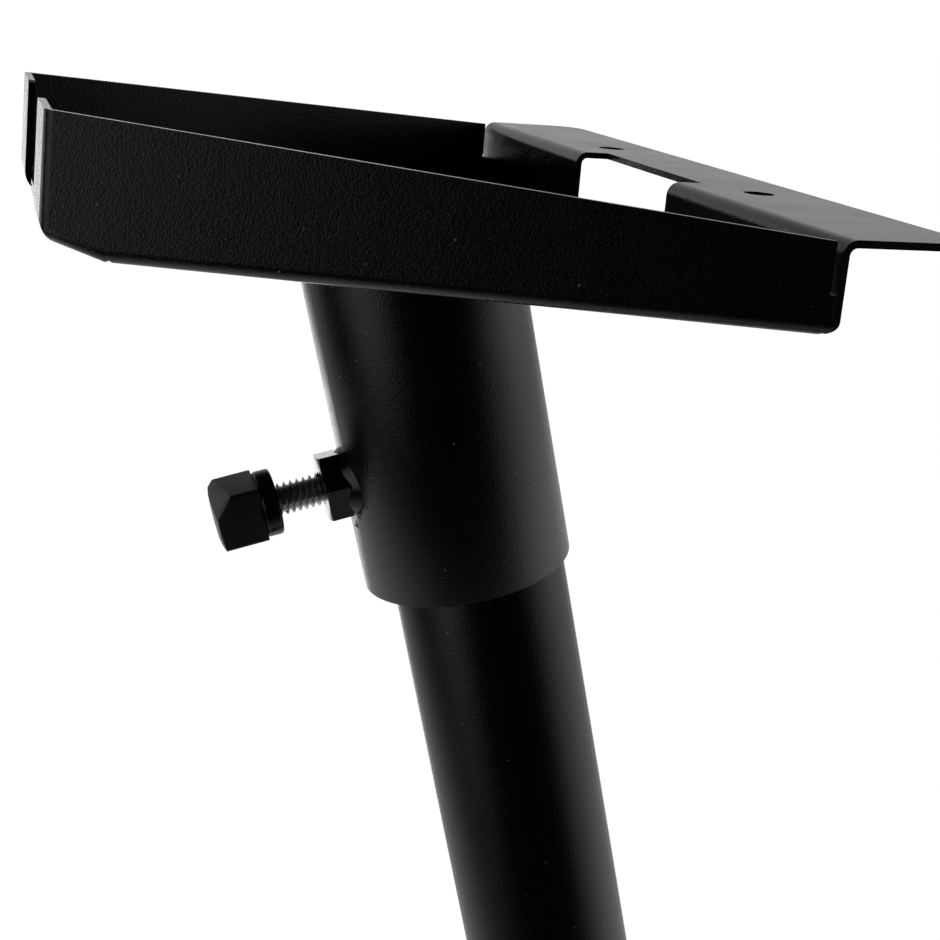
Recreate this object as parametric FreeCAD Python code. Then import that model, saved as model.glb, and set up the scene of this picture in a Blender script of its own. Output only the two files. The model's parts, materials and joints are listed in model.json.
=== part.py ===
import FreeCAD, Part
import math
import os

# Music stand: a bent-sheet head tray on a clamped, telescopic column with a round base.
# Millimetres, +Z up. The origin is on the column's axis, at the bottom of the feet.
# +X is the tray's flanged end, which is its wide, lower end. The clamp screws point to -X.

Vector = FreeCAD.Vector

# ---------------------------------------------------------------- driving dimensions
# Base
base_diameter = 340.0
base_thickness = 6.0
base_edge_radius = 1.5
foot_height = 8.0
foot_diameter = 26.0
foot_top_diameter = 22.0
foot_rim_inset = 25.0          # from the base plate's rim in to a foot's axis
edge_chamfer = 1.0             # on turned, moulded and cut edges
foot_count = 4
foot_screw_head_diameter = 8.0
foot_screw_head_height = 2.6
foot_screw_diameter = 4.0
foot_screw_recess_clearance = 0.6
foot_screw_seat = 1.2         # rubber between the screw's head and the base plate
foot_screw_slot = (1.0, 0.9)  # width, depth
foot_bore_clearance = 0.1

# Column
lower_tube_diameter = 42.0
lower_tube_wall = 1.5
lower_tube_length = 576.0
pole_diameter = 35.0
pole_wall = 1.5
pole_overlap = 310.0          # length of pole inside the lower tube at rest
pole_exposed = 240.0          # from the guide bush up to the sleeve's rim at rest
slide_clearance = 0.08        # radial, for everything that slides or turns on the pole

# Guide bush in the mouth of the lower tube
bush_length = 42.0
bush_flange_height = 3.0
bush_fit = 0.02               # radial gap of a plug pressed into a tube

# Bush at the pole's foot
foot_bush_height = 26.0
foot_bush_plug_length = 16.0

# Pole's top plug
top_plug_cap = 2.0
top_plug_length = 14.0
top_plug_edge = 0.6
top_plug_clearance = 1.0      # to the tray's floor above it

# Foot plug and centre bolt
foot_plug_height = 26.0
foot_flange_height = 5.0
foot_flange_diameter = 56.0
bolt_diameter = 10.0
bolt_length = 24.0
bolt_head_diameter = 17.0
bolt_head_height = 5.0
bolt_socket_width = 6.0
bolt_socket_depth = 2.6
washer_diameter = 24.0
washer_thickness = 1.6
bolt_hole_clearance = 0.3     # radial, in the base plate and the washer
base_weld_leg = 3.0

# Head sleeve
sleeve_diameter = 42.0
sleeve_wall = 1.2
sleeve_length = 68.0          # from the tray's underside, on the sleeve's axis, to the rim
sleeve_play = 0.3             # gap left on the side that the screw pushes against the pole
sleeve_weld_leg = 1.2

# Clamp screw, the same on the head and on the lower tube
head_screw_drop = 45.0        # below the tray's underside, on the sleeve's axis
lower_screw_drop = 24.0       # below the lower tube's top
thread_diameter = 6.35
thread_pitch = 1.27
thread_depth = 0.72
thread_clearance = 0.06       # radial, screw in nut
nut_across_flats = 12.5
nut_thickness = 4.5
nut_chamfer = 0.7
nut_stand_off = 0.2
nut_turn_deg = -20.2
nut_weld_radius = 7.8
exposed_thread = 9.1          # between the nut and the knob's collar, clamped
collar_diameter = 13.0
collar_thickness = 3.3
collar_edge = 0.35
knob_width = 11.0
knob_length = 9.0
knob_edge_radius = 0.7
knob_turn_deg = -4.4          # the square's turn about the screw at rest
facet_on_edge = 0.60          # share of the knob's length where its facet leaves the front edge
facet_on_far_edge = 0.80      # the same on the far edge
facet_down_front = 0.40       # share of the width that the facet takes off the front of the end
pad_diameter = 7.6
pad_thickness = 2.0
pad_gap = 0.2                 # clear of the pole, so that two bodies never share a face
pad_socket_depth = 1.2
tip_diameter = 4.2
tip_clearance = 0.08
screw_hole_clearance = 0.4

# Tray, in its own frame: x along the floor to the flange, z normal to the floor,
# origin where the sleeve's axis meets the floor's underside.
tray_tilt_deg = 15.0
sheet = 1.2
bend_inside = 1.2
lip_x = -68.0                 # outer face of the turned-in lips, at lip_level
lip_level = 13.0
lip_lean_deg = 2.0            # the lips' tops lean in over the floor
end_wall_x = 43.0             # outer face of the end wall
narrow_width = 80.0
wide_width = 174.0
wall_height_lip = 22.6
wall_height_end = 14.2
lip_length = 21.5
lip_corner_radius = 1.6
corner_slit = 0.6
slit_bottom = 6.6
relief_radius = 0.4
flange_top = 14.6
flange_reach = 22.0           # from the end wall's outer face to the flange's free edge
flange_extra_width = 1.6
flange_corner_radius = 6.0
flange_hole_diameter = 5.5
flange_hole_spacing = 71.0
flange_hole_inset = 11.0      # from the flange's free edge
window_width = 47.0
window_bottom = 3.6
window_into_flange = 5.6      # past the end wall's outer face
ramp_fold_x = -58.4           # where the floor turns up towards the lips
ramp_deg = 17.5
lip_joint_gap = 0.3
lip_foot_radius = 4.0

# ---------------------------------------------------------------- derived sizes
bend_outside = bend_inside + sheet
foot_circle_radius = base_diameter / 2 - foot_rim_inset
tube_foot_z = foot_height + base_thickness
tube_top_z = tube_foot_z + lower_tube_length
bush_top_z = tube_top_z + bush_flange_height
rim_z = bush_top_z + pole_exposed
datum_z = rim_z + sleeve_length
pole_foot_z = tube_top_z - pole_overlap
pole_radius = pole_diameter / 2
pole_bore = pole_radius - pole_wall
tube_radius = lower_tube_diameter / 2
tube_bore = tube_radius - lower_tube_wall
sleeve_radius = sleeve_diameter / 2
sleeve_bore = sleeve_radius - sleeve_wall
sleeve_x = -(sleeve_bore - pole_radius - sleeve_play)
tilt = math.radians(tray_tilt_deg)
wall_end_x = end_wall_x - sheet - corner_slit
flange_edge_x = end_wall_x + flange_reach
flange_width = wide_width + flange_extra_width


def floor_underside_z(x):
    """Height of the tray's tilted underside above a point on the column's X axis."""
    return datum_z - (x - sleeve_x) * math.tan(tilt)


pole_top_z = floor_underside_z(pole_radius) - top_plug_clearance - top_plug_cap


# ---------------------------------------------------------------- helpers
def cylinder(radius, height, x=0.0, y=0.0, z=0.0, axis=(0, 0, 1)):
    return Part.makeCylinder(radius, height, Vector(x, y, z), Vector(*axis))


def box(low, high):
    size = Vector(*high) - Vector(*low)
    return Part.makeBox(size.x, size.y, size.z, Vector(*low))


def tube(outer, inner, height, x=0.0, z=0.0):
    return cylinder(outer, height, x, 0, z).cut(cylinder(inner, height + 2, x, 0, z - 1))


def revolve(points, origin=(0, 0, 0)):
    """Solid of revolution about Z from a closed outline of (radius, height) points."""
    outline = [Vector(r, 0, h) for r, h in points]
    face = Part.Face(Part.makePolygon(outline + [outline[0]]))
    solid = face.revolve(Vector(0, 0, 0), Vector(0, 0, 1), 360)
    solid.translate(Vector(*origin))
    return solid


def prism(points, z_low, z_high):
    """Upright prism on a closed outline of (x, y) points."""
    outline = [Vector(x, y, z_low) for x, y in points]
    face = Part.Face(Part.makePolygon(outline + [outline[0]]))
    return face.extrude(Vector(0, 0, z_high - z_low))


def side_prism(points, y_low, y_high):
    """Prism along Y on a closed outline of (x, z) points."""
    outline = [Vector(x, y_low, z) for x, z in points]
    face = Part.Face(Part.makePolygon(outline + [outline[0]]))
    return face.extrude(Vector(0, y_high - y_low, 0))


def hexagon(across_flats, height):
    corner = across_flats / math.sqrt(3)
    points = []
    for step in range(6):
        angle = math.radians(60 * step)
        points.append((corner * math.cos(angle), corner * math.sin(angle)))
    return prism(points, 0, height)


def edges_where(shape, test):
    return [edge for edge in shape.Edges if test(edge)]


def along(edge):
    """Unit direction of a straight edge, or None."""
    if edge.Curve.TypeId != "Part::GeomLine":
        return None
    step = edge.Vertexes[-1].Point - edge.Vertexes[0].Point
    return step.normalize()


def one_solid(shape):
    """The single clean solid of a boolean result."""
    shape = shape.removeSplitter()
    if len(shape.Solids) != 1:
        raise ValueError("expected one solid, found %d" % len(shape.Solids))
    return shape.Solids[0]


def export(name, shape):
    shape.exportStep("parts/" + name + ".step")


# ---------------------------------------------------------------- tray
def tray_outline(inset):
    """Plan of the tray at an inset from its walls: past the narrow end, then the wide end."""
    run = wall_end_x - lip_x
    spread = (wide_width - narrow_width) / 2
    slope = spread / run
    shift = inset * math.sqrt(1 + slope * slope)
    x_low = lip_x - 2 * sheet
    x_high = end_wall_x - inset

    def half_width(x):
        return narrow_width / 2 + slope * (x - lip_x) - shift

    return [
        (x_low, -half_width(x_low)),
        (x_high, -half_width(x_high)),
        (x_high, half_width(x_high)),
        (x_low, half_width(x_low)),
    ]


def ramp_line(x, inset=0.0):
    """Height of the front ramp's face at x, moved inwards by the inset."""
    angle = math.radians(ramp_deg)
    return (ramp_fold_x - x) * math.tan(angle) + inset / math.cos(angle)


def lip_face_x(z, inset=0.0):
    """Where the lips' leaning outer face is at a height, moved inwards by the inset."""
    lean = math.radians(lip_lean_deg)
    return lip_x + (z - lip_level) * math.tan(lean) + inset / math.cos(lean)


def ramp_end(inset):
    """Where the front ramp meets the lips' face, both moved inwards by the inset."""
    fall = math.tan(math.radians(ramp_deg))
    lean = math.tan(math.radians(lip_lean_deg))
    x = (lip_face_x(0, inset) + ramp_line(0, inset) * lean) / (1 + fall * lean)
    return (x, ramp_line(x, inset))


def pan(inset, radius):
    """Trapezoid block whose floor ramps up to the lips, with rounded lip corners and bends."""
    top = wall_height_lip + 5
    x_high = end_wall_x - inset
    fold_shift = inset * math.tan(math.radians(ramp_deg) / 2)
    profile = [
        ramp_end(inset),
        (ramp_fold_x + fold_shift, inset),
        (x_high, inset),
        (x_high, top),
        (lip_face_x(top, inset), top),
    ]
    block = side_prism(profile, -wide_width, wide_width)
    solid = block.common(prism(tray_outline(inset), -1, top + 1)).Solids[0]

    def is_bend(edge):
        way = along(edge)
        points = [vertex.Point for vertex in edge.Vertexes]
        if way is None or any(point.z > top - 0.01 for point in points) and abs(way.z) < 0.99:
            return False
        if abs(way.z) > 0.99:
            return points[0].x < ramp_fold_x
        if abs(way.y) > 0.99:
            return abs(points[0].x - x_high) < 0.01
        return True

    return solid.makeFillet(radius, edges_where(solid, is_bend))


def tray_shell():
    """Floor, side walls, lips and the foot of the end wall, before trimming."""
    return pan(0, bend_outside).cut(pan(sheet, bend_inside))


def wall_top_cutter():
    """Everything above the side walls' tapered top edge, up to the corner slit."""
    slope = (wall_height_end - wall_height_lip) / (wall_end_x - lip_x)
    x_low = lip_x - 5
    x_high = end_wall_x - sheet
    outline = [
        (x_low, wall_height_lip + slope * (x_low - lip_x)),
        (x_high, wall_height_lip + slope * (x_high - lip_x)),
        (x_high, wall_height_lip + 20),
        (x_low, wall_height_lip + 20),
    ]
    return side_prism(outline, -wide_width, wide_width)


def lip_opening():
    """The gap between the two lips, which stand in front of the ramp's edge."""
    half_gap = narrow_width / 2 - lip_length
    top = wall_height_lip + 5
    outline = [
        (lip_x - 4 * sheet, 0),
        (lip_face_x(0, sheet), 0),
        (lip_face_x(top, sheet), top),
        (lip_x - 4 * sheet, top),
    ]
    return side_prism(outline, -half_gap, half_gap)


def lip_joint():
    """Thin gap between the lips' backs and the ramp's front edge."""
    reach = narrow_width / 2 - bend_outside
    x, top = ramp_end(sheet)
    return box((x, -reach, 0), (x + lip_joint_gap, reach, top + 0.01))


def lip_foot_rounding(side):
    """What the rounded foot of a lip leaves out, over the lip's whole width."""
    x, z = ramp_end(0)
    corner = Vector(x, 0, z)
    up = Vector(math.sin(math.radians(lip_lean_deg)), 0, math.cos(math.radians(lip_lean_deg)))
    down_ramp = Vector(math.cos(math.radians(ramp_deg)), 0, -math.sin(math.radians(ramp_deg)))
    half_angle = up.getAngle(down_ramp) / 2
    start = corner + up * (lip_foot_radius / math.tan(half_angle))
    end = corner + down_ramp * (lip_foot_radius / math.tan(half_angle))
    inwards = (up + down_ramp).normalize()
    centre = corner + inwards * (lip_foot_radius / math.sin(half_angle))
    middle = centre - inwards * lip_foot_radius
    outside = corner - inwards * lip_foot_radius
    edges = [
        Part.Arc(start, middle, end).toShape(),
        Part.makeLine(end, outside),
        Part.makeLine(outside, start),
    ]
    face = Part.Face(Part.Wire(edges))
    width = lip_length + bend_outside
    solid = face.extrude(Vector(0, width, 0))
    low = narrow_width / 2 - lip_length
    solid.translate(Vector(0, low if side > 0 else -low - width, 0))
    return solid


def bend_reliefs():
    """Small round reliefs where bends meet, and the slits at the two wide corners."""
    cutters = []
    relief_x = ramp_fold_x + relief_radius
    for side in (-1, 1):
        low, high = sorted((side * (narrow_width / 2), side * (wide_width / 2 + 5)))
        cutters.append(cylinder(relief_radius, high - low, relief_x, low, 0.1, (0, 1, 0)))
        start = wide_width / 2 - bend_outside - 1
        low, high = sorted((side * start, side * (wide_width / 2 + 5)))
        slit_x = end_wall_x - sheet - corner_slit
        cutters.append(box((slit_x, low, slit_bottom), (slit_x + corner_slit, high, wall_height_lip)))
        middle = slit_x + corner_slit / 2
        cutters.append(cylinder(relief_radius, high - low, middle, low, slit_bottom, (0, 1, 0)))
        cutters.append(cylinder(relief_radius, high - low, middle, low, 0.0, (0, 1, 0)))
    return cutters


def end_flange():
    """End wall above its bottom bend, the bend at its top, and the flange."""
    half = flange_width / 2
    inner = end_wall_x - sheet
    under = flange_top - sheet
    outline = [
        (inner, bend_outside),
        (end_wall_x, bend_outside),
        (end_wall_x, under),
        (flange_edge_x, under),
        (flange_edge_x, flange_top),
        (inner, flange_top),
    ]
    solid = side_prism(outline, -half, half)

    def runs_along_y_at(x, z):
        def test(edge):
            way = along(edge)
            point = edge.Vertexes[0].Point
            return (way is not None and abs(way.y) > 0.99
                    and abs(point.x - x) < 0.01 and abs(point.z - z) < 0.01)
        return test

    solid = solid.makeFillet(bend_outside, edges_where(solid, runs_along_y_at(inner, flange_top)))
    solid = solid.makeFillet(bend_inside, edges_where(solid, runs_along_y_at(end_wall_x, under)))

    def free_corner(edge):
        way = along(edge)
        point = edge.Vertexes[0].Point
        return way is not None and abs(way.z) > 0.99 and abs(point.x - flange_edge_x) < 0.01

    return solid.makeFillet(flange_corner_radius, edges_where(solid, free_corner))


def flange_hole_places():
    x = flange_edge_x - flange_hole_inset
    return [(x, -flange_hole_spacing / 2), (x, flange_hole_spacing / 2)]


def end_window():
    half = window_width / 2
    low = (end_wall_x - sheet - bend_outside, -half, window_bottom)
    high = (end_wall_x + window_into_flange, half, flange_top + 1)
    return box(low, high)


def trim_end_wall():
    """Keeps the pan from standing above the end wall's own foot."""
    return box((end_wall_x - sheet, -wide_width, bend_outside), (end_wall_x + 5, wide_width, 60))


def make_tray():
    shell = tray_shell()
    cutters = [wall_top_cutter(), lip_opening(), lip_joint(), trim_end_wall()]
    cutters += [lip_foot_rounding(side) for side in (-1, 1)]
    for cutter in cutters:
        shell = shell.cut(cutter)
    tray = shell.fuse(end_flange())
    for cutter in bend_reliefs():
        tray = tray.cut(cutter)
    tray = tray.cut(end_window())
    for x, y in flange_hole_places():
        tray = tray.cut(cylinder(flange_hole_diameter / 2, 10, x, y, flange_top - 5))
    tray = one_solid(tray)

    def lip_top_corner(edge):
        way = along(edge)
        if way is None or abs(way.x) < 0.9 or edge.Length > 2 * sheet:
            return False
        point = edge.Vertexes[0].Point
        return abs(abs(point.y) - (narrow_width / 2 - lip_length)) < 0.05 and point.z > 2 * bend_outside

    return tray.makeFillet(lip_corner_radius, edges_where(tray, lip_top_corner))


def place_on_column(shape):
    """Moves a shape from the tray's frame to the stand's frame."""
    placed = shape.copy()
    placed.rotate(Vector(0, 0, 0), Vector(0, 1, 0), tray_tilt_deg)
    placed.translate(Vector(sleeve_x, 0, datum_z))
    return placed


# ---------------------------------------------------------------- head sleeve
def under_tray():
    """Half-space below the tray's underside, in the stand's frame."""
    return place_on_column(box((-150, -150, -300), (150, 150, 0)))


def make_head_sleeve():
    shape = tube(sleeve_radius, sleeve_bore, sleeve_length + 30, sleeve_x, rim_z)
    shape = shape.common(under_tray())
    hole = cylinder(thread_diameter / 2 + screw_hole_clearance, 2 * sleeve_radius,
                    sleeve_x, 0, datum_z - head_screw_drop, (-1, 0, 0))
    return one_solid(shape.cut(hole))


def make_sleeve_weld():
    """Bead round the slanted top of the sleeve: widest against the floor."""
    reach = sleeve_radius + sleeve_weld_leg
    cone_height = 60.0
    axis_top = datum_z + 30
    outer = cylinder(reach, cone_height, sleeve_x, 0, axis_top - cone_height)
    slab = place_on_column(box((-60, -60, -sleeve_weld_leg), (60, 60, 0)))
    bead = outer.common(slab)
    return one_solid(bead.cut(cylinder(sleeve_radius, 2 * cone_height, sleeve_x, 0, axis_top - 90)))


# ---------------------------------------------------------------- clamp screw
def towards_minus_x(shape, origin):
    """Turns a shape built along +Z so that it points along -X from origin."""
    placed = shape.copy()
    placed.rotate(Vector(0, 0, 0), Vector(0, 1, 0), -90)
    placed.translate(Vector(*origin))
    return placed


def nut_blank():
    """Hexagon with its outer corners chamfered, threaded bore left plain."""
    hexagonal = hexagon(nut_across_flats, nut_thickness)
    corner = nut_across_flats / math.sqrt(3)
    crown = revolve([
        (0, 0),
        (corner + 1, 0),
        (corner + 1, nut_thickness - nut_chamfer),
        (nut_across_flats / 2 - 0.1, nut_thickness),
        (0, nut_thickness),
    ])
    return hexagonal.common(crown)


def make_clamp_nut(tube_outer, tube_axis_x, z):
    """Weld nut with the weld metal that ties it to the tube, hollowed behind for the pad."""
    nut = nut_blank()
    sunk = tube_outer - math.sqrt(tube_outer ** 2 - nut_weld_radius ** 2) + nut_stand_off
    bead = revolve([
        (0, -sunk),
        (nut_weld_radius, -sunk),
        (nut_across_flats / 2 - 0.2, 0.9),
        (0, 0.9),
    ])
    nut.rotate(Vector(0, 0, 0), Vector(0, 0, 1), nut_turn_deg)
    joined = nut.fuse(bead)
    joined = joined.cut(cylinder(thread_diameter / 2 + thread_clearance, 30, 0, 0, -10))
    joined = joined.cut(cylinder(pad_diameter / 2 + screw_hole_clearance, 30, 0, 0, -30))
    placed = towards_minus_x(joined, (tube_axis_x - tube_outer - nut_stand_off, 0, z))
    return one_solid(placed.cut(cylinder(tube_outer, 60, tube_axis_x, 0, z - 30)))


def make_clamp_screw(start, thread_top, z):
    """Threaded screw from its plain tip, at start, to the inside of the knob, at thread_top."""
    length = thread_top - start
    root = thread_diameter / 2 - thread_depth
    crest = thread_diameter / 2
    tip_length = pad_socket_depth - 0.1
    outline = [(0, -tip_length), (tip_diameter / 2, -tip_length), (tip_diameter / 2, 0), (root, 0)]
    turns = int(length / thread_pitch)
    for turn in range(turns):
        foot = turn * thread_pitch
        outline.append((root, foot + 0.10 * thread_pitch))
        outline.append((crest, foot + 0.45 * thread_pitch))
        outline.append((crest, foot + 0.55 * thread_pitch))
        outline.append((root, foot + 0.90 * thread_pitch))
    outline.append((root, length))
    outline.append((0, length))
    return towards_minus_x(revolve(outline), (-start, 0, z))


def make_collar(start, z):
    radius = collar_diameter / 2
    bore = thread_diameter / 2
    ring = revolve([
        (bore, 0),
        (radius - collar_edge, 0),
        (radius, collar_edge),
        (radius, collar_thickness - collar_edge),
        (radius - collar_edge, collar_thickness),
        (bore, collar_thickness),
    ])
    return towards_minus_x(ring, (-start, 0, z))


def knob_facet():
    """What the flat facet takes off one corner of the knob's end."""
    half = knob_width / 2
    on_edge = Vector(half, -half, facet_on_edge * knob_length)
    on_far_edge = Vector(half, half, facet_on_far_edge * knob_length)
    on_end = Vector(half - facet_down_front * knob_width, -half, knob_length)
    normal = (on_far_edge - on_edge).cross(on_end - on_edge).normalize()
    return Part.makeCylinder(3 * knob_width, knob_length, on_edge, normal)


def make_knob(start, z):
    """Square knob with a slightly crowned end and a flat facet over one corner."""
    half = knob_width / 2
    square = box((-half, -half, 0), (half, half, knob_length))
    square = square.makeFillet(knob_edge_radius, edges_where(
        square, lambda e: along(e) is not None and abs(along(e).z) > 0.99))
    crown = revolve([
        (0, 0),
        (half * 1.56, 0),
        (half * 1.44, knob_length * 0.92),
        (half * 0.90, knob_length * 0.98),
        (0, knob_length),
    ])
    head = square.common(crown).cut(knob_facet())
    head = head.cut(cylinder(thread_diameter / 2, knob_length / 2, 0, 0, 0))
    head.rotate(Vector(0, 0, 0), Vector(0, 0, 1), knob_turn_deg)
    return towards_minus_x(one_solid(head), (-start, 0, z))


def make_pad(z):
    """Round pad between the screw's tip and the pole, hollowed to the pole's curve."""
    near = pole_radius + pad_gap
    pad = cylinder(pad_diameter / 2, pad_thickness + 2, -(near + pad_thickness), 0, z, (1, 0, 0))
    pad = pad.cut(cylinder(near, pad_diameter + 4, 0, 0, z - pad_diameter / 2 - 2))
    socket = cylinder(tip_diameter / 2 + tip_clearance, pad_socket_depth,
                      -(near + pad_thickness), 0, z, (1, 0, 0))
    return one_solid(pad.cut(socket))


def make_clamp(prefix, tube_outer, tube_axis_x, z):
    """One clamp: weld nut, screw, collar, knob and thrust pad, named after its place."""
    tip = pole_radius + pad_gap + pad_thickness
    nut_face = tube_outer - tube_axis_x + nut_stand_off + nut_thickness
    collar_start = nut_face + exposed_thread
    knob_start = collar_start + collar_thickness
    export(prefix + "_clamp_nut", make_clamp_nut(tube_outer, tube_axis_x, z))
    export(prefix + "_clamp_screw", make_clamp_screw(tip, knob_start + knob_length / 2, z))
    export(prefix + "_knob_collar", make_collar(collar_start, z))
    export(prefix + "_knob", make_knob(knob_start, z))
    export(prefix + "_thrust_pad", make_pad(z))


# ---------------------------------------------------------------- column
def make_pole():
    return tube(pole_radius, pole_bore, pole_top_z - pole_foot_z, 0, pole_foot_z)


def make_pole_top_plug():
    skirt = pole_bore - bush_fit
    cap = pole_radius - 0.3
    return revolve([
        (0, 0),
        (skirt - 2, 0),
        (skirt - 2, -top_plug_length),
        (skirt - 0.4, -top_plug_length),
        (skirt, -top_plug_length + 0.6),
        (skirt, 0),
        (cap, 0),
        (cap, top_plug_cap - top_plug_edge),
        (cap - top_plug_edge, top_plug_cap),
        (0, top_plug_cap),
    ], (0, 0, pole_top_z))


def make_pole_foot_bush():
    outer = tube_bore - slide_clearance
    plug = pole_bore - bush_fit
    hollow = plug - 3
    return revolve([
        (hollow, -foot_bush_height),
        (outer - edge_chamfer, -foot_bush_height),
        (outer, -foot_bush_height + edge_chamfer),
        (outer, -0.6),
        (outer - 0.6, 0),
        (plug, 0),
        (plug, foot_bush_plug_length),
        (hollow, foot_bush_plug_length),
    ], (0, 0, pole_foot_z))


def lower_screw_z():
    return tube_top_z - lower_screw_drop


def cut_for_lower_pad(shape):
    """Clears the way for the lower clamp's pad, through the -X side only."""
    radius = pad_diameter / 2 + screw_hole_clearance
    return one_solid(shape.cut(cylinder(radius, 2 * tube_radius, 0, 0, lower_screw_z(), (-1, 0, 0))))


def make_lower_tube():
    shape = tube(tube_radius, tube_bore, lower_tube_length, 0, tube_foot_z)
    return cut_for_lower_pad(shape)


def make_tube_guide_bush():
    outer = tube_bore - bush_fit
    bore = pole_radius + slide_clearance
    bush = revolve([
        (bore, -bush_length),
        (outer - 0.5, -bush_length),
        (outer, -bush_length + 0.5),
        (outer, 0),
        (tube_radius, 0),
        (tube_radius, bush_flange_height - 0.8),
        (tube_radius - 0.8, bush_flange_height),
        (bore, bush_flange_height),
    ], (0, 0, tube_top_z))
    return cut_for_lower_pad(bush)


# ---------------------------------------------------------------- base
def make_foot_plug():
    """Turned plug in the foot of the lower tube, bored for the centre bolt."""
    spigot = tube_bore - bush_fit
    plug = cylinder(spigot, foot_plug_height, 0, 0, tube_foot_z)
    bore = cylinder(bolt_diameter / 2, foot_plug_height + 2, 0, 0, tube_foot_z - 1)
    return one_solid(plug.cut(bore))


def make_foot_flange():
    """Ring round the tube's foot, flush with it on the plate and welded to it."""
    outer = foot_flange_diameter / 2
    inner = tube_radius + bush_fit
    return revolve([
        (inner, 0),
        (outer, 0),
        (outer, foot_flange_height - edge_chamfer),
        (outer - edge_chamfer, foot_flange_height),
        (inner, foot_flange_height),
    ], (0, 0, tube_foot_z))


def make_base_weld():
    """Bead between the tube's foot and its flange ring."""
    return revolve([
        (tube_radius, 0),
        (tube_radius + base_weld_leg, 0),
        (tube_radius, base_weld_leg),
    ], (0, 0, tube_foot_z + foot_flange_height))


def make_base_plate():
    radius = base_diameter / 2
    edge = base_edge_radius
    plate = revolve([
        (0, 0),
        (radius - edge, 0),
        (radius, edge),
        (radius, base_thickness - edge),
        (radius - edge, base_thickness),
        (0, base_thickness),
    ], (0, 0, foot_height))
    holes = [(bolt_diameter / 2 + bolt_hole_clearance, 0, 0)]
    holes += [(foot_screw_diameter / 2, x, y) for x, y in foot_places()]
    for bore, x, y in holes:
        plate = plate.cut(cylinder(bore, base_thickness + 2, x, y, foot_height - 1))
    return one_solid(plate)


def make_centre_washer():
    return tube(washer_diameter / 2, bolt_diameter / 2 + bolt_hole_clearance, washer_thickness,
                0, foot_height - washer_thickness)


def make_centre_bolt():
    head_z = foot_height - washer_thickness - bolt_head_height
    bolt = revolve([
        (0, 0),
        (bolt_head_diameter / 2 - 1, 0),
        (bolt_head_diameter / 2, 1),
        (bolt_head_diameter / 2, bolt_head_height),
        (bolt_diameter / 2, bolt_head_height),
        (bolt_diameter / 2, bolt_head_height + bolt_length - 1),
        (bolt_diameter / 2 - 1, bolt_head_height + bolt_length),
        (0, bolt_head_height + bolt_length),
    ], (0, 0, head_z))
    socket = hexagon(bolt_socket_width, bolt_socket_depth)
    socket.translate(Vector(0, 0, head_z))
    return one_solid(bolt.cut(socket))


def foot_places():
    places = []
    for step in range(foot_count):
        angle = math.radians(360 / foot_count * (step + 0.5))
        places.append((foot_circle_radius * math.cos(angle), foot_circle_radius * math.sin(angle)))
    return places


def make_foot(x, y):
    """Rubber foot with a recess below for its screw's head."""
    recess = foot_screw_head_diameter / 2 + foot_screw_recess_clearance
    bore = foot_screw_diameter / 2 + foot_bore_clearance
    seat_z = foot_height - foot_screw_seat
    return revolve([
        (recess, 0),
        (foot_diameter / 2 - edge_chamfer, 0),
        (foot_diameter / 2, edge_chamfer),
        (foot_top_diameter / 2, foot_height),
        (bore, foot_height),
        (bore, seat_z),
        (recess, seat_z),
    ], (x, y, 0))


def make_foot_screw(x, y):
    """Slotted screw, head down, that holds a foot to the base plate."""
    head = foot_screw_head_diameter / 2
    shank = foot_screw_diameter / 2
    length = foot_screw_head_height + foot_screw_seat + base_thickness - 1
    slot_half = foot_screw_slot[0] / 2
    screw = revolve([
        (0, 0),
        (head - 0.8, 0),
        (head, 0.8),
        (head, foot_screw_head_height),
        (shank, foot_screw_head_height),
        (shank, length),
        (0, length),
    ])
    screw = screw.cut(box((-slot_half, -head, -1), (slot_half, head, foot_screw_slot[1])))
    screw.translate(Vector(x, y, foot_height - foot_screw_seat - foot_screw_head_height))
    return screw


# ---------------------------------------------------------------- the stand
def build():
    os.makedirs("parts", exist_ok=True)
    export("tray", place_on_column(make_tray()))
    export("head_sleeve", make_head_sleeve())
    export("head_sleeve_weld", make_sleeve_weld())
    make_clamp("head", sleeve_radius, sleeve_x, datum_z - head_screw_drop)
    export("pole", make_pole())
    export("pole_top_plug", make_pole_top_plug())
    export("pole_foot_bush", make_pole_foot_bush())
    export("lower_tube", make_lower_tube())
    export("tube_guide_bush", make_tube_guide_bush())
    make_clamp("lower", tube_radius, 0.0, lower_screw_z())
    export("tube_foot_plug", make_foot_plug())
    export("tube_foot_flange", make_foot_flange())
    export("base_weld", make_base_weld())
    export("base_plate", make_base_plate())
    export("centre_washer", make_centre_washer())
    export("centre_bolt", make_centre_bolt())
    feet = [make_foot(x, y) for x, y in foot_places()]
    export("rubber_feet", Part.makeCompound(feet))
    screws = [make_foot_screw(x, y) for x, y in foot_places()]
    export("foot_screws", Part.makeCompound(screws))


build()
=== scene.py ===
import json
import math

import bmesh
import bpy
from mathutils import Euler, Matrix, Vector, noise


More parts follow.
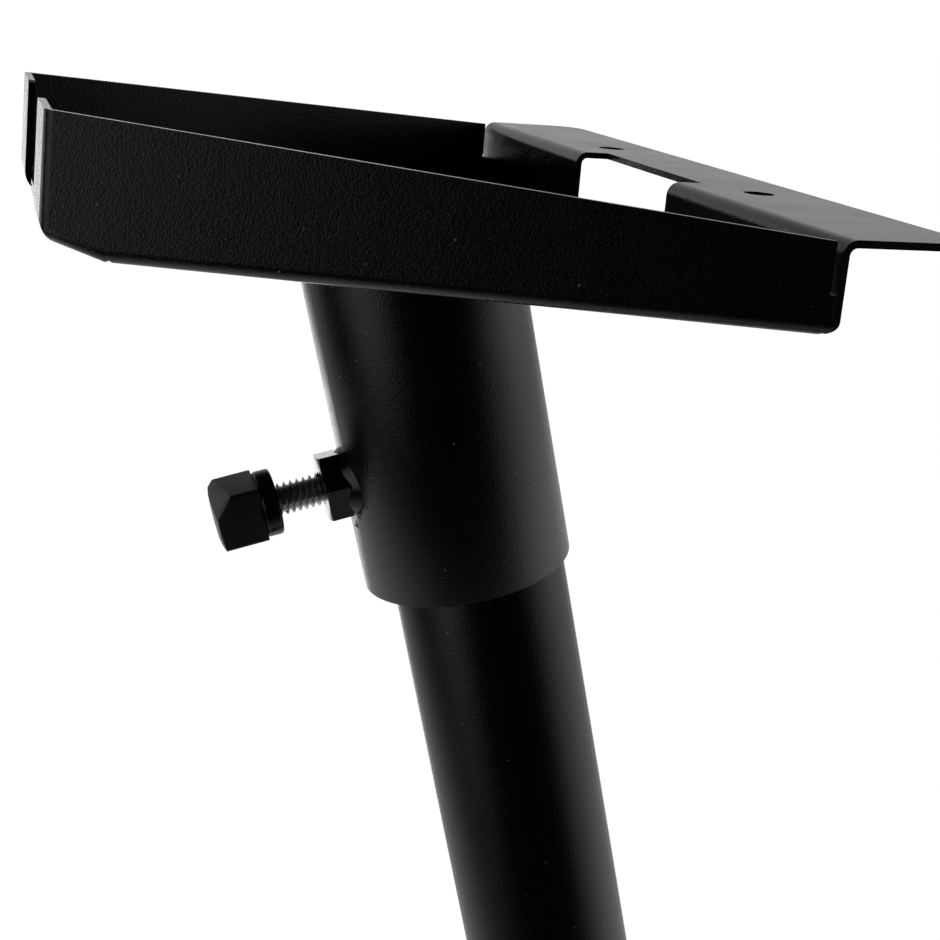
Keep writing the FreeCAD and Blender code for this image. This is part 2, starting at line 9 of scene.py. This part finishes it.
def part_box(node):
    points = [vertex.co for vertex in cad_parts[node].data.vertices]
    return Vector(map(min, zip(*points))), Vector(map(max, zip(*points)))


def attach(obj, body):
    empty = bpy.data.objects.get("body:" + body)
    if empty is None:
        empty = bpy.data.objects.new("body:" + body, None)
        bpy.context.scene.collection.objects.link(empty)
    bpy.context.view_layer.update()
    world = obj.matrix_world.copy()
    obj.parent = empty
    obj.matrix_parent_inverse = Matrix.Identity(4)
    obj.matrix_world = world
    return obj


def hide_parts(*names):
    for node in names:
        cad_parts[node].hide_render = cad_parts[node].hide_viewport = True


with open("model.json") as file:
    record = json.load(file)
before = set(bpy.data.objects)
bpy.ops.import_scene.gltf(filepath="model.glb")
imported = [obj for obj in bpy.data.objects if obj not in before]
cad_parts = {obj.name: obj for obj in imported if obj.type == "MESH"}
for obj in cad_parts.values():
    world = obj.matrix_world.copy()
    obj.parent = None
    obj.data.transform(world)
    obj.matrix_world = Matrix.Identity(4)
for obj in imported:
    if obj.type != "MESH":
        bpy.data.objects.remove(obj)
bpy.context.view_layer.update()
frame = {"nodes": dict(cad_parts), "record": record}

# Metres, +Z up, the origin on the column's axis at the bottom of the feet. +X is the tray's
# flanged end, and the clamp screws point to -X.

MM = 0.001

# ------------------------------------------------------------------ driving values
# Camera
CAMERA_PLACE = (-0.067416, -0.296412, 0.964491)
CAMERA_YAW = 13.2             # degrees, from +Y towards +X
CAMERA_DOWN = 20.34
CAMERA_ROLL = 10.41           # clockwise as the viewer sees it
CAMERA_LENS = 62.53
CAMERA_SENSOR = 36.0

# Clamp screw, as in the CAD
THREAD_PITCH = 1.27 * MM
THREAD_CREST = 3.175 * MM
THREAD_ROOT = 2.455 * MM
THREAD_COLUMNS = 72
THREAD_SHARES = (0.0, 0.06, 0.12, 0.28, 0.45, 0.50, 0.55, 0.71, 0.88)    # of a pitch
ROOT_END = 0.12               # shares of a pitch where the thread's flanks and crest begin
CREST_START = 0.45
CREST_END = 0.55
ROOT_START = 0.88
TIP_RADIUS = 2.1 * MM
TIP_LENGTH = 1.1 * MM
TIP_TAPER = 0.8

# Edges
MERGE_DISTANCE = 1e-6
FLAT_DEG = 0.6                # faces that turn by less are one flat face
SHEET_EDGE = 0.50 * MM        # rounding that the coat gives a cut edge of sheet
SMALL_EDGE = 0.25 * MM        # the same on a tube, a nut or a knob
PLATE_EDGE = 0.5 * MM

# Weld beads round a clamp nut: from and to in degrees (0 is +Y, 90 up), reach, drop radius
WELD_STEP_DEG = 9.0
WELD_ARCS = (
    (0, 360, 7.6 * MM, 1.1 * MM),
    (-150, -40, 8.4 * MM, 1.4 * MM),
    (60, 120, 7.8 * MM, 1.0 * MM),
)
WELD_LIFT = 0.5 * MM          # of the drops' middles over the tube
WELD_COARSE = 0.35
WELD_FINE = 0.12
WELD_WOBBLE = 0.25
HEAD_SLEEVE_RADIUS = 21.0 * MM
LOWER_TUBE_RADIUS = 21.0 * MM

# Powder coat
GRAIN_PER_METRE = 2900
PEEL_PER_METRE = 1300
PATCHES_PER_METRE = 60
DUST_PER_METRE = 200
COAT_DARK = (0.003, 0.003, 0.0031)
COAT_LIGHT = (0.007, 0.007, 0.0071)
DUST = (0.25, 0.25, 0.24)

# Light that the stand sees, by direction; the eye sees a white backdrop everywhere
BACKDROP = 1.0
SWEEP_LIGHT = 0.62
SWEEP_LOW = 0.38              # share of the sweep left well below the horizon
SWEEP_HIGH = 0.25             # share left above its upper edge
CORE_LIGHT = 2.1              # straight behind the stand
UNDER_LIGHT = 0.55
LEFT_LIGHT = 0.72
RIGHT_LIGHT = 0.38
FILL_LIGHT = 0.012            # from everywhere else
OVERHEAD_PLACE = (0.2, 0.9, 2.6)
OVERHEAD_SIZE = 1.2
OVERHEAD_POWER = 2.0
HEAD_PLACE = (0.0, 0.0, 0.87)
FLOOR_RADIUS = 60.0
FLOOR_LIGHT = 0.95


# ------------------------------------------------------------------ meshes
def new_object(name, mesh):
    piece = bpy.data.objects.new(name, mesh)
    bpy.context.scene.collection.objects.link(piece)
    return piece


def from_bmesh(name, bm):
    mesh = bpy.data.meshes.new(name)
    bm.to_mesh(mesh)
    bm.free()
    return new_object(name, mesh)


def smooth_shade(piece, sharp_deg=35.0):
    """Smooth faces with hard edges kept where two faces turn by more than sharp_deg."""
    mesh = piece.data
    for polygon in mesh.polygons:
        polygon.use_smooth = True
    mesh.set_sharp_from_angle(angle=math.radians(sharp_deg))


def even_shade(piece):
    """Smooth faces whose normals follow the larger face, so flat faces stay flat."""
    mesh = piece.data
    normals = [Vector((0.0, 0.0, 0.0)) for _ in mesh.vertices]
    for polygon in mesh.polygons:
        polygon.use_smooth = True
        for index in polygon.vertices:
            normals[index] += polygon.normal * polygon.area
    mesh.normals_split_custom_set_from_vertices([normal.normalized() for normal in normals])


def sharp_edges(bm, angle_deg):
    limit = math.radians(angle_deg)
    return [edge for edge in bm.edges
            if edge.is_manifold and edge.calc_face_angle(0.0) > limit]


def coated(node, edge_width, edge_deg=38.0, segments=2, shade=smooth_shade):
    """A CAD node's shape with the small round edges that powder coat leaves on cut metal."""
    bm = bmesh.new()
    bm.from_mesh(frame["nodes"][node].data)
    bmesh.ops.remove_doubles(bm, verts=bm.verts, dist=MERGE_DISTANCE)
    bmesh.ops.dissolve_limit(bm, angle_limit=math.radians(FLAT_DEG), verts=bm.verts, edges=bm.edges)
    edges = sharp_edges(bm, edge_deg)
    bmesh.ops.bevel(bm, geom=edges, offset=edge_width, segments=segments, profile=0.5,
                    affect="EDGES", clamp_overlap=True)
    bmesh.ops.triangulate(bm, faces=[face for face in bm.faces if len(face.verts) > 4])
    piece = from_bmesh(node + "_coated", bm)
    shade(piece)
    return piece


# ------------------------------------------------------------------ materials
class Shader:
    """A node tree with short calls for the nodes used here."""

    def __init__(self, name):
        self.material = bpy.data.materials.new(name)
        self.material.use_nodes = True
        self.tree = self.material.node_tree
        self.surface = self.tree.nodes["Principled BSDF"]
        self.place = self.add("ShaderNodeTexCoord").outputs["Object"]

    def add(self, kind, **settings):
        node = self.tree.nodes.new(kind)
        for key, value in settings.items():
            setattr(node, key, value)
        return node

    def link(self, output, socket):
        self.tree.links.new(output, socket)

    def noise(self, per_metre, detail=2.0, rough=0.5, stretch=(1, 1, 1)):
        node = self.add("ShaderNodeTexNoise")
        node.inputs["Scale"].default_value = per_metre
        node.inputs["Detail"].default_value = detail
        node.inputs["Roughness"].default_value = rough
        if stretch != (1, 1, 1):
            mapping = self.add("ShaderNodeMapping")
            mapping.inputs["Scale"].default_value = stretch
            self.link(self.place, mapping.inputs["Vector"])
            self.link(mapping.outputs["Vector"], node.inputs["Vector"])
        else:
            self.link(self.place, node.inputs["Vector"])
        return node.outputs["Fac"]

    def cells(self, per_metre):
        node = self.add("ShaderNodeTexVoronoi")
        node.inputs["Scale"].default_value = per_metre
        self.link(self.place, node.inputs["Vector"])
        return node.outputs["Distance"]

    def remap(self, value, low, high, out_low=0.0, out_high=1.0):
        node = self.add("ShaderNodeMapRange")
        node.inputs["From Min"].default_value = low
        node.inputs["From Max"].default_value = high
        node.inputs["To Min"].default_value = out_low
        node.inputs["To Max"].default_value = out_high
        self.link(value, node.inputs["Value"])
        return node.outputs["Result"]

    def maths(self, operation, first, second):
        node = self.add("ShaderNodeMath", operation=operation)
        for socket, value in zip(node.inputs, (first, second)):
            if isinstance(value, (int, float)):
                socket.default_value = value
            else:
                self.link(value, socket)
        return node.outputs["Value"]

    def blend(self, factor, first, second):
        node = self.add("ShaderNodeMix", data_type="RGBA")
        self.link(factor, node.inputs["Factor"])
        for socket, value in ((node.inputs["A"], first), (node.inputs["B"], second)):
            if isinstance(value, tuple):
                socket.default_value = (*value, 1.0)
            else:
                self.link(value, socket)
        return node.outputs["Result"]

    def bump(self, height, distance, strength=1.0, under=None):
        node = self.add("ShaderNodeBump")
        node.inputs["Distance"].default_value = distance
        node.inputs["Strength"].default_value = strength
        self.link(height, node.inputs["Height"])
        if under is not None:
            self.link(under, node.inputs["Normal"])
        return node.outputs["Normal"]


def powder_coat(name, rough, grain_depth):
    """Black coat with a fine leathery grain, slightly uneven gloss and a few specks of dust."""
    shader = Shader(name)
    surface = shader.surface
    grain = shader.noise(GRAIN_PER_METRE, 2.0, 0.6)
    peel = shader.noise(PEEL_PER_METRE, 1.0, 0.5)
    patches = shader.noise(PATCHES_PER_METRE, 4.0, 0.6)
    specks = shader.remap(shader.cells(DUST_PER_METRE), 0.05, 0.03)
    base = shader.blend(patches, COAT_DARK, COAT_LIGHT)
    colour = shader.blend(specks, base, DUST)
    shader.link(colour, surface.inputs["Base Color"])
    gloss = shader.maths("ADD", shader.remap(patches, 0.3, 0.7, rough - 0.04, rough + 0.04),
                         shader.remap(grain, 0.3, 0.7, -0.05, 0.05))
    shader.link(gloss, surface.inputs["Roughness"])
    low = shader.bump(peel, 0.4 * grain_depth, 0.6)
    shader.link(shader.bump(grain, grain_depth, 1.0, low), surface.inputs["Normal"])
    return shader.material


def bright_steel():
    shader = Shader("bright_steel")
    surface = shader.surface
    wear = shader.noise(500, 3.0, 0.6)
    scratches = shader.noise(900, 2.0, 0.6, (1, 6, 6))
    colour = shader.blend(wear, (0.50, 0.49, 0.47), (0.72, 0.71, 0.69))
    shader.link(colour, surface.inputs["Base Color"])
    shader.link(shader.remap(scratches, 0.3, 0.7, 0.22, 0.38), surface.inputs["Roughness"])
    surface.inputs["Metallic"].default_value = 1.0
    shader.link(shader.bump(scratches, 0.01 * MM, 0.6), surface.inputs["Normal"])
    return shader.material


def moulded_plastic(name, base, rough, grain_depth):
    shader = Shader(name)
    surface = shader.surface
    grain = shader.noise(2600, 2.0, 0.5)
    flow = shader.noise(120, 3.0, 0.5)
    lighter = tuple(1.5 * value for value in base)
    shader.link(shader.blend(flow, base, lighter), surface.inputs["Base Color"])
    shader.link(shader.remap(grain, 0.3, 0.7, rough - 0.05, rough + 0.06), surface.inputs["Roughness"])
    shader.link(shader.bump(grain, grain_depth, 0.8), surface.inputs["Normal"])
    return shader.material


def foot_rubber():
    shader = Shader("foot_rubber")
    surface = shader.surface
    grain = shader.noise(1500, 3.0, 0.6)
    shader.link(shader.blend(grain, (0.014, 0.014, 0.014), (0.03, 0.03, 0.029)),
                surface.inputs["Base Color"])
    shader.link(shader.remap(grain, 0.3, 0.7, 0.65, 0.85), surface.inputs["Roughness"])
    shader.link(shader.bump(grain, 0.05 * MM, 0.7), surface.inputs["Normal"])
    return shader.material


MATERIALS = {
    "powder_coat": powder_coat("powder_coat", 0.19, 0.075 * MM),
    "thick_coat": powder_coat("thick_coat", 0.15, 0.02 * MM),
    "bright_steel": bright_steel(),
    "turned_steel": bright_steel(),
    "black_plastic": moulded_plastic("black_plastic", (0.016, 0.016, 0.0165), 0.45, 0.02 * MM),
    "polished_plastic": moulded_plastic("polished_plastic", (0.003, 0.003, 0.003), 0.22, 0.005 * MM),
    "guide_plastic": moulded_plastic("guide_plastic", (0.018, 0.018, 0.018), 0.5, 0.03 * MM),
    "foot_rubber": foot_rubber(),
}


def finish_with(piece, slot, look=None):
    piece.data.materials.clear()
    piece.data.materials.append(MATERIALS[look or slot])


def body_of(node):
    for body, members in frame["record"]["behaviour"]["bodies"].items():
        if node in members:
            return body


def slot_of(node):
    for entry in frame["record"]["subparts"]:
        if entry["node"] == node:
            return entry["material_slot"]


def stand_for(piece, node, look=None):
    """The piece takes a CAD node's place: its body and its finish."""
    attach(piece, body_of(node))
    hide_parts(node)
    finish_with(piece, slot_of(node), look)


# ------------------------------------------------------------------ pieces
def thread_radius(share):
    """Radius of the thread at a share of one pitch: root, flank, crest, flank."""
    rise = (share - ROOT_END) / (CREST_START - ROOT_END)
    fall = (ROOT_START - share) / (ROOT_START - CREST_END)
    height = max(0.0, min(1.0, rise, fall))
    return THREAD_ROOT + (THREAD_CREST - THREAD_ROOT) * height


def thread_screw(name, node):
    """A real right-hand helix from the screw's tip to the inside of its knob, along -X."""
    low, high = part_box(node)
    middle = (low + high) / 2
    tip = high.x - TIP_LENGTH
    turns = int((tip - low.x) / THREAD_PITCH) + 3
    bm = bmesh.new()
    grid = []
    for column in range(THREAD_COLUMNS):
        angle = 2 * math.pi * column / THREAD_COLUMNS
        line = []
        for turn in range(-2, turns):
            for share in THREAD_SHARES:
                along = THREAD_PITCH * (turn + share + column / THREAD_COLUMNS)
                radius = thread_radius(share)
                line.append(bm.verts.new((
                    tip - along,
                    middle.y + radius * math.cos(angle),
                    middle.z + radius * math.sin(angle))))
        grid.append(line)
    rows = len(grid[0])
    for column in range(THREAD_COLUMNS):
        after = (column + 1) % THREAD_COLUMNS
        shift = len(THREAD_SHARES) if after == 0 else 0
        for row in range(rows - 1 - shift):
            bm.faces.new((
                grid[column][row],
                grid[column][row + 1],
                grid[after][row + 1 + shift],
                grid[after][row + shift]))
    for place, normal in ((tip, 1), (low.x, -1)):
        geometry = bm.verts[:] + bm.edges[:] + bm.faces[:]
        bmesh.ops.bisect_plane(bm, geom=geometry, plane_co=(place, 0, 0), plane_no=(normal, 0, 0),
                               clear_outer=True)
        rim = [edge for edge in bm.edges if edge.is_boundary
               and all(abs(vert.co.x - place) < 1e-7 for vert in edge.verts)]
        bmesh.ops.edgeloop_fill(bm, edges=rim)
    along_x = Euler((0, math.pi / 2, 0)).to_matrix().to_4x4()
    place = Matrix.Translation((tip + TIP_LENGTH / 2, middle.y, middle.z))
    bmesh.ops.create_cone(bm, cap_ends=True, segments=48, depth=TIP_LENGTH, radius1=TIP_RADIUS,
                          radius2=TIP_RADIUS * TIP_TAPER, matrix=place @ along_x)
    bmesh.ops.recalc_face_normals(bm, faces=bm.faces)
    piece = from_bmesh(name, bm)
    smooth_shade(piece, 50)
    stand_for(piece, node)


def weld_blob(bm, place, size, seed):
    """One uneven drop of weld metal, with a coarse and a fine lumpiness."""
    made = bmesh.ops.create_icosphere(bm, subdivisions=3, radius=1.0)
    for vert in made["verts"]:
        lump = 1 + WELD_COARSE * noise.noise(vert.co * 1.3 + Vector((seed, 0, 0)))
        lump += WELD_FINE * noise.noise(vert.co * 3.5 + Vector((0, seed, 0)))
        vert.co = Vector(place) + Vector(co * s * lump for co, s in zip(vert.co, size))


def weld_bead(node, tube_radius):
    """Beads that hold a clamp nut to its tube, heavier under the nut than over it."""
    low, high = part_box(node)
    level = (low.z + high.z) / 2
    bm = bmesh.new()
    seed = 0
    for first, last, reach, fat in WELD_ARCS:
        steps = max(2, int(abs(last - first) / WELD_STEP_DEG))
        for step in range(steps + 1):
            turn = math.radians(first + (last - first) * step / steps)
            seed += 1
            wobble = 1 + WELD_WOBBLE * noise.noise(Vector((seed * 0.7, level * 10, 0)))
            y = reach * wobble * math.cos(turn)
            z = reach * wobble * math.sin(turn)
            x = -math.sqrt(tube_radius ** 2 - y ** 2) - WELD_LIFT
            size = fat * (0.85 + 0.3 * (seed % 3) / 2)
            weld_blob(bm, (x, y, level + z), (size, size * 1.1, size * 1.1), seed * 1.7)
    piece = from_bmesh(node + "_weld_bead", bm)
    smooth_shade(piece, 60)
    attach(piece, body_of(node))
    finish_with(piece, slot_of(node), "thick_coat")


def make_pieces():
    stand_for(coated("tray", SHEET_EDGE, segments=3, shade=even_shade), "tray")
    for node in ("head_sleeve", "pole", "lower_tube"):
        stand_for(coated(node, SMALL_EDGE), node)
    for node, tube_radius in (("head_clamp_nut", HEAD_SLEEVE_RADIUS),
                              ("lower_clamp_nut", LOWER_TUBE_RADIUS)):
        stand_for(coated(node, SMALL_EDGE, 25.0, shade=even_shade), node, "thick_coat")
        weld_bead(node, tube_radius)
    for node in ("base_plate", "tube_foot_flange"):
        stand_for(coated(node, PLATE_EDGE, shade=even_shade), node)
    for node in ("head_knob", "lower_knob"):
        stand_for(coated(node, SMALL_EDGE, 30.0), node)
        stand_for(coated(node + "_collar", SMALL_EDGE, 30.0), node + "_collar", "polished_plastic")
    for clamp in ("head", "lower"):
        thread_screw(clamp + "_thread", clamp + "_clamp_screw")
    for node, piece in frame["nodes"].items():
        if not piece.hide_render:
            slot = slot_of(node)
            piece.data.materials.clear()
            piece.data.materials.append(MATERIALS[slot])


make_pieces()


# ------------------------------------------------------------------ studio
def make_floor():
    bm = bmesh.new()
    bmesh.ops.create_circle(bm, cap_ends=True, segments=96, radius=FLOOR_RADIUS)
    floor = from_bmesh("floor", bm)
    material = bpy.data.materials.new("floor")
    material.use_nodes = True
    tree = material.node_tree
    surface = tree.nodes["Principled BSDF"]
    surface.inputs["Base Color"].default_value = (0.5, 0.5, 0.5, 1)
    surface.inputs["Roughness"].default_value = 0.9
    surface.inputs["Emission Color"].default_value = (1, 1, 1, 1)
    surface.inputs["Emission Strength"].default_value = FLOOR_LIGHT
    floor.data.materials.append(material)
    floor.visible_glossy = False
    floor.visible_diffuse = False


def make_world():
    """White for the eye; for the stand, a white sweep behind and below, dark towards the viewer."""
    world = bpy.data.worlds.new("studio")
    bpy.context.scene.world = world
    world.use_nodes = True
    tree = world.node_tree
    nodes = tree.nodes
    background = nodes["Background"]
    coordinates = nodes.new("ShaderNodeTexCoord")

    def link(output, socket):
        tree.links.new(output, socket)

    def towards(direction, low, high):
        dot = nodes.new("ShaderNodeVectorMath")
        dot.operation = "DOT_PRODUCT"
        dot.inputs[1].default_value = Vector(direction).normalized()
        link(coordinates.outputs["Generated"], dot.inputs[0])
        ramp = nodes.new("ShaderNodeMapRange")
        ramp.interpolation_type = "SMOOTHSTEP"
        ramp.inputs["From Min"].default_value = low
        ramp.inputs["From Max"].default_value = high
        link(dot.outputs["Value"], ramp.inputs["Value"])
        return ramp.outputs["Result"]

    def join(operation, first, second):
        node = nodes.new("ShaderNodeMath")
        node.operation = operation
        for socket, value in zip(node.inputs, (first, second)):
            if isinstance(value, float):
                socket.default_value = value
            else:
                link(value, socket)
        return node.outputs["Value"]

    sweep = towards((0.47, 0.92, 0.0), -0.20, 0.50)
    raised = towards((0.0, 0.0, 1.0), -0.40, 0.10)
    above = towards((0.0, 0.0, 1.0), 0.25, 0.55)
    share = join("ADD", SWEEP_LOW, join("MULTIPLY", raised, 1.0 - SWEEP_LOW))
    share = join("SUBTRACT", share, join("MULTIPLY", above, 1.0 - SWEEP_HIGH))
    core = towards((0.05, 0.96, -0.25), 0.93, 0.99)
    under = join("MULTIPLY", towards((0.0, 0.3, -1.0), 0.20, 0.60),
                 towards((0.23, 0.97, 0.0), -0.85, 0.15))
    left = towards((-0.89, -0.41, 0.20), 0.84, 1.0)
    right = towards((0.94, -0.17, -0.30), 0.75, 1.0)
    light = join("MULTIPLY", join("MULTIPLY", sweep, share), SWEEP_LIGHT)
    light = join("MAXIMUM", light, join("MULTIPLY", under, UNDER_LIGHT))
    light = join("MAXIMUM", light, join("MULTIPLY", core, CORE_LIGHT))
    for side, strength in ((left, LEFT_LIGHT), (right, RIGHT_LIGHT)):
        light = join("ADD", light, join("MULTIPLY", side, strength))
    light = join("ADD", light, FILL_LIGHT)
    path = nodes.new("ShaderNodeLightPath")
    mix = nodes.new("ShaderNodeMix")
    link(path.outputs["Is Camera Ray"], mix.inputs["Factor"])
    link(light, mix.inputs["A"])
    mix.inputs["B"].default_value = BACKDROP
    link(mix.outputs["Result"], background.inputs["Strength"])
    background.inputs["Color"].default_value = (1, 1, 1, 1)


def make_overhead_light():
    data = bpy.data.lights.new("overhead", "AREA")
    data.shape = "RECTANGLE"
    data.size = data.size_y = OVERHEAD_SIZE
    data.energy = OVERHEAD_POWER
    lamp = bpy.data.objects.new("overhead", data)
    bpy.context.scene.collection.objects.link(lamp)
    lamp.location = OVERHEAD_PLACE
    aim = Vector(HEAD_PLACE) - Vector(OVERHEAD_PLACE)
    lamp.rotation_euler = aim.to_track_quat("-Z", "Y").to_euler()


def make_camera():
    data = bpy.data.cameras.new("camera")
    data.lens = CAMERA_LENS
    data.sensor_width = CAMERA_SENSOR
    data.clip_start = 0.01
    data.clip_end = 200
    camera = bpy.data.objects.new("camera", data)
    bpy.context.scene.collection.objects.link(camera)
    bpy.context.scene.camera = camera
    yaw, down, roll = (math.radians(a) for a in (CAMERA_YAW, CAMERA_DOWN, CAMERA_ROLL))
    forward = Vector((math.sin(yaw) * math.cos(down), math.cos(yaw) * math.cos(down), -math.sin(down)))
    level = Vector((math.cos(yaw), -math.sin(yaw), 0))
    low = forward.cross(level)
    right = math.cos(roll) * level + math.sin(roll) * low
    up = right.cross(forward)
    camera.matrix_world = Matrix((right, up, -forward)).transposed().to_4x4()
    camera.location = CAMERA_PLACE


make_floor()
make_world()
make_overhead_light()
make_camera()
bpy.context.scene.view_settings.view_transform = "Standard"
